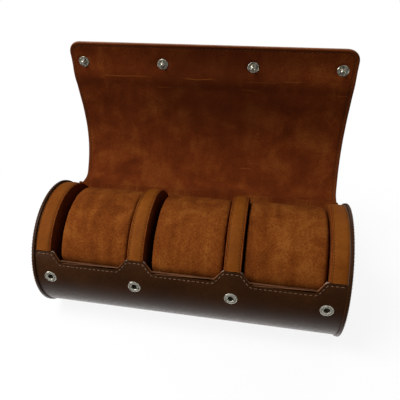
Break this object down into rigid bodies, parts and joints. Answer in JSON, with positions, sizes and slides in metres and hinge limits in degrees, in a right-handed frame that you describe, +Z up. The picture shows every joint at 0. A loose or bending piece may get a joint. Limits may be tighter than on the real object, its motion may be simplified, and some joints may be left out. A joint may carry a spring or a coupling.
{
  "type": "watch travel case",
  "caption": "Cylindrical leather travel roll with padded watch slots between partitions and a wrap-over flap closed by snaps.",
  "frame": {"origin": "middle of the flat base, on the table under the roll's centre line", "axes": "+X along the roll, -Y the side with the snaps, +Z up"},
  "size_m": [0.219, 0.1209, 0.1904],
  "materials": {
    "dark_leather": "smooth semi-matt dark brown leather",
    "tan_leather": "smooth matt tan leather",
    "suede": "rust brown suede nap",
    "board": "raw grey board",
    "foam": "soft foam",
    "nickel": "polished nickel"
  },
  "bodies": {
    "roll": {"shell_leather": "dark_leather", "shell_board": "board", "shell_lining": "suede", "left_end_cover": "dark_leather", "left_end_board": "board", "right_end_cover": "dark_leather", "right_end_board": "board", "left_end_core": "board", "left_end_facing": "suede", "left_end_rim": "tan_leather", "right_end_core": "board", "right_end_facing": "suede", "right_end_rim": "tan_leather", "left_divider_core": "board", "left_divider_outer_facing": "suede", "left_divider_inner_facing": "suede", "left_divider_rim": "tan_leather", "right_divider_core": "board", "right_divider_outer_facing": "suede", "right_divider_inner_facing": "suede", "right_divider_rim": "tan_leather", "snap_sockets": "nickel", "snap_springs": "nickel"},
    "flap_1": {"flap_leather_1": "dark_leather", "flap_lining_1": "suede"},
    "flap_2": {"flap_leather_2": "dark_leather", "flap_lining_2": "suede"},
    "flap_3": {"flap_leather_3": "dark_leather", "flap_lining_3": "suede"},
    "flap_4": {"flap_leather_4": "dark_leather", "flap_lining_4": "suede"},
    "flap_5": {"flap_leather_5": "dark_leather", "flap_lining_5": "suede"},
    "flap_6": {"flap_leather_6": "dark_leather", "flap_lining_6": "suede"},
    "flap_7": {"flap_leather_7": "dark_leather", "flap_lining_7": "suede", "snap_studs": "nickel", "snap_caps": "nickel"},
    "left_pillow": {"left_pillow": "suede", "left_pillow_core": "foam"},
    "middle_pillow": {"middle_pillow": "suede", "middle_pillow_core": "foam"},
    "right_pillow": {"right_pillow": "suede", "right_pillow_core": "foam"}
  },
  "joints": [
    {"name": "flap_swing", "type": "hinge", "parent": "roll", "child": "flap_1", "pos_m": [0, 0.04021, 0.07362], "axis": [1, 0, 0], "range_deg": [-60, 129]},
    {"name": "flap_base_bend", "type": "hinge", "parent": "flap_1", "child": "flap_2", "pos_m": [0, 0.05862, 0.07556], "axis": [1, 0, 0], "range_deg": [-32.25, 15]},
    {"name": "flap_curl", "type": "hinge", "parent": "flap_2", "child": "flap_3", "pos_m": [0, 0.0678, 0.09162], "axis": [1, 0, 0], "range_deg": [-2, 4]},
    {"name": "flap_curl_middle", "type": "hinge", "parent": "flap_3", "child": "flap_4", "pos_m": [0, 0.07157, 0.10974], "axis": [1, 0, 0], "range_deg": [-3, 6]},
    {"name": "flap_curl_upper", "type": "hinge", "parent": "flap_4", "child": "flap_5", "pos_m": [0, 0.0702, 0.1282], "axis": [1, 0, 0], "range_deg": [-6, 12]},
    {"name": "flap_curl_end", "type": "hinge", "parent": "flap_5", "child": "flap_6", "pos_m": [0, 0.06564, 0.14614], "axis": [1, 0, 0], "range_deg": [-9, 18]},
    {"name": "flap_tip", "type": "hinge", "parent": "flap_6", "child": "flap_7", "pos_m": [0, 0.05985, 0.16372], "axis": [1, 0, 0], "range_deg": [-8, 34.5]},
    {"name": "left_pillow_lift", "type": "slide", "parent": "roll", "child": "left_pillow", "axis": [0, 0.165, -0.9863], "range_m": [-0.06, 0]},
    {"name": "middle_pillow_lift", "type": "slide", "parent": "roll", "child": "middle_pillow", "axis": [0, 0.165, -0.9863], "range_m": [-0.06, 0]},
    {"name": "right_pillow_lift", "type": "slide", "parent": "roll", "child": "right_pillow", "axis": [0, 0.165, -0.9863], "range_m": [-0.06, 0]}
  ],
  "couplings": [
    {"joint": "flap_base_bend", "follows": "flap_swing", "ratio": -0.25},
    {"joint": "flap_curl_middle", "follows": "flap_curl", "ratio": 1.5},
    {"joint": "flap_curl_upper", "follows": "flap_curl", "ratio": 3},
    {"joint": "flap_curl_end", "follows": "flap_curl", "ratio": 4.5}
  ]
}
